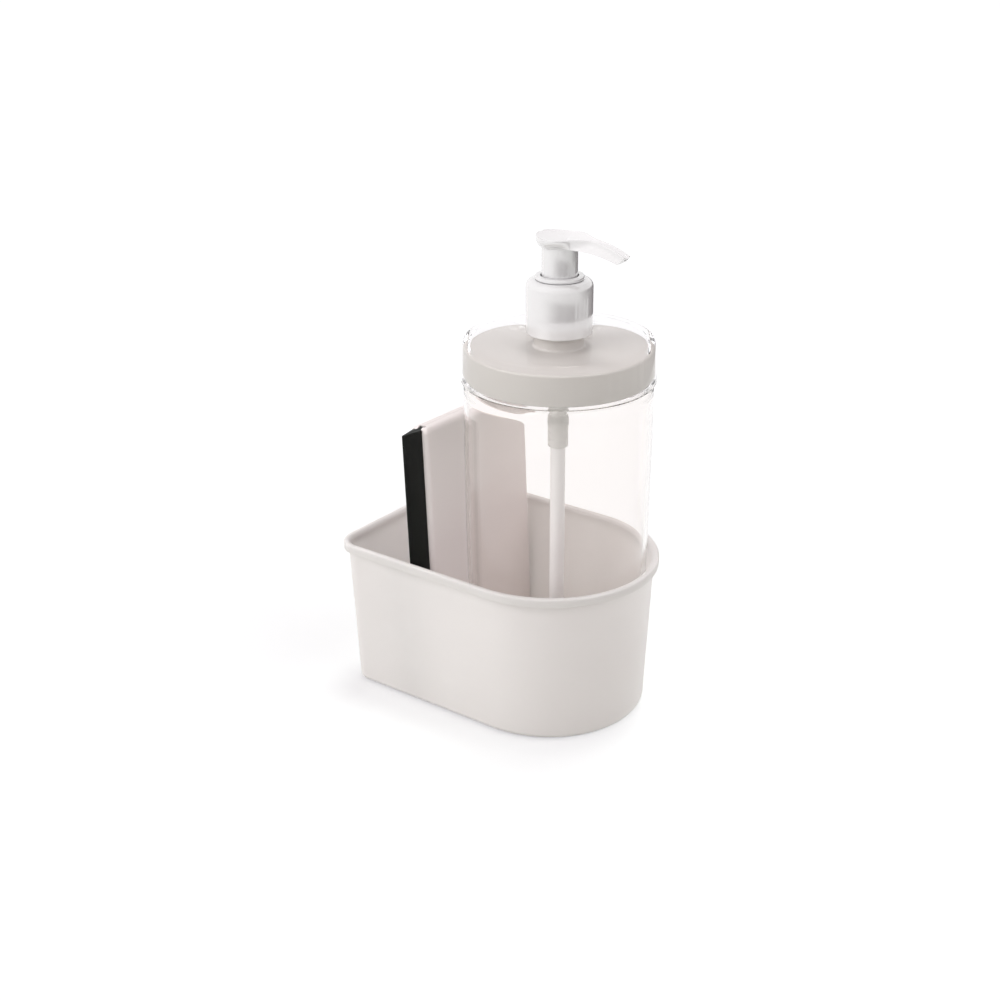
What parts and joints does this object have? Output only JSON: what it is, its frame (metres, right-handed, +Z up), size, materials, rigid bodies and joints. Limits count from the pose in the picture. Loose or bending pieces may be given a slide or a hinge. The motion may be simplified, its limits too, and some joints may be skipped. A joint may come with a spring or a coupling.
{
  "type": "soap pump caddy",
  "caption": "D-shaped sink tub holding a clear pump bottle with a screw lid and a lotion pump, a standing squeegee and a free bay for a sponge.",
  "frame": {"origin": "centre of the tub's footprint, on the surface it stands on", "axes": "+X along the tub towards its round end, with the pump's spout pointing the same way; +Y across the tub; +Z up"},
  "size_m": [0.1552, 0.1132, 0.2494],
  "materials": {
    "warm_white": "satin moulded plastic",
    "lid_grey": "satin moulded plastic",
    "clear": "clear polished plastic",
    "gloss_white": "polished",
    "natural": "natural unpigmented plastic",
    "tube": "translucent extruded plastic",
    "seal": "soft seal",
    "steel": "drawn wire",
    "blade": "smooth rubber"
  },
  "bodies": {
    "caddy": {"tub": "warm_white"},
    "bottle": {"bottle": "clear"},
    "lid_seal": {"lid_gasket": "seal"},
    "lid": {"inner_lid": "lid_grey", "lid_shell": "clear"},
    "pump": {"housing": "natural", "chaplet": "gloss_white", "pump_gasket": "seal", "dip_tube": "tube", "spring": "steel"},
    "collar": {"collar": "gloss_white"},
    "plunger": {"piston": "natural"},
    "head": {"actuator": "gloss_white", "stem": "natural", "piston_seat": "natural"},
    "inlet_valve": {"inlet_ball": "steel"},
    "squeegee": {"squeegee_front": "warm_white", "squeegee_back": "warm_white", "squeegee_blade": "blade"}
  },
  "joints": [
    {"name": "bottle_lift", "type": "slide", "parent": "caddy", "child": "bottle", "axis": [0, 0, 1], "range_m": [0, 0.09]},
    {"name": "lid_lift", "type": "slide", "parent": "bottle", "child": "lid_seal", "axis": [0, 0, 1], "range_m": [0, 0.19]},
    {"name": "lid_turn", "type": "hinge", "parent": "lid_seal", "child": "lid", "pos_m": [0.0258, 0, 0], "axis": [0, 0, 1], "range_deg": [0, 360]},
    {"name": "pump_rise", "type": "slide", "parent": "lid", "child": "pump", "axis": [0, 0, 1], "range_m": [0, 0.0065]},
    {"name": "collar_turn", "type": "hinge", "parent": "pump", "child": "collar", "pos_m": [0.0258, 0, 0], "axis": [0, 0, 1], "range_deg": [0, 540]},
    {"name": "head_press", "type": "slide", "parent": "pump", "child": "plunger", "axis": [0, 0, -1], "range_m": [0, 0.013], "stiffness_N_per_m": 400, "springref_m": -0.006, "deforming": ["spring"]},
    {"name": "head_turn", "type": "hinge", "parent": "plunger", "child": "head", "pos_m": [0.0258, 0, 0], "axis": [0, 0, 1], "continuous": true},
    {"name": "ball_lift", "type": "slide", "parent": "pump", "child": "inlet_valve", "axis": [0, 0, 1], "range_m": [0, 0.0015]},
    {"name": "squeegee_lift", "type": "slide", "parent": "caddy", "child": "squeegee", "axis": [0, 0, 1], "range_m": [0, 0.09]}
  ],
  "couplings": [
    {"joint": "pump_rise", "follows": "collar_turn", "m_per_rad": 0.000673}
  ]
}
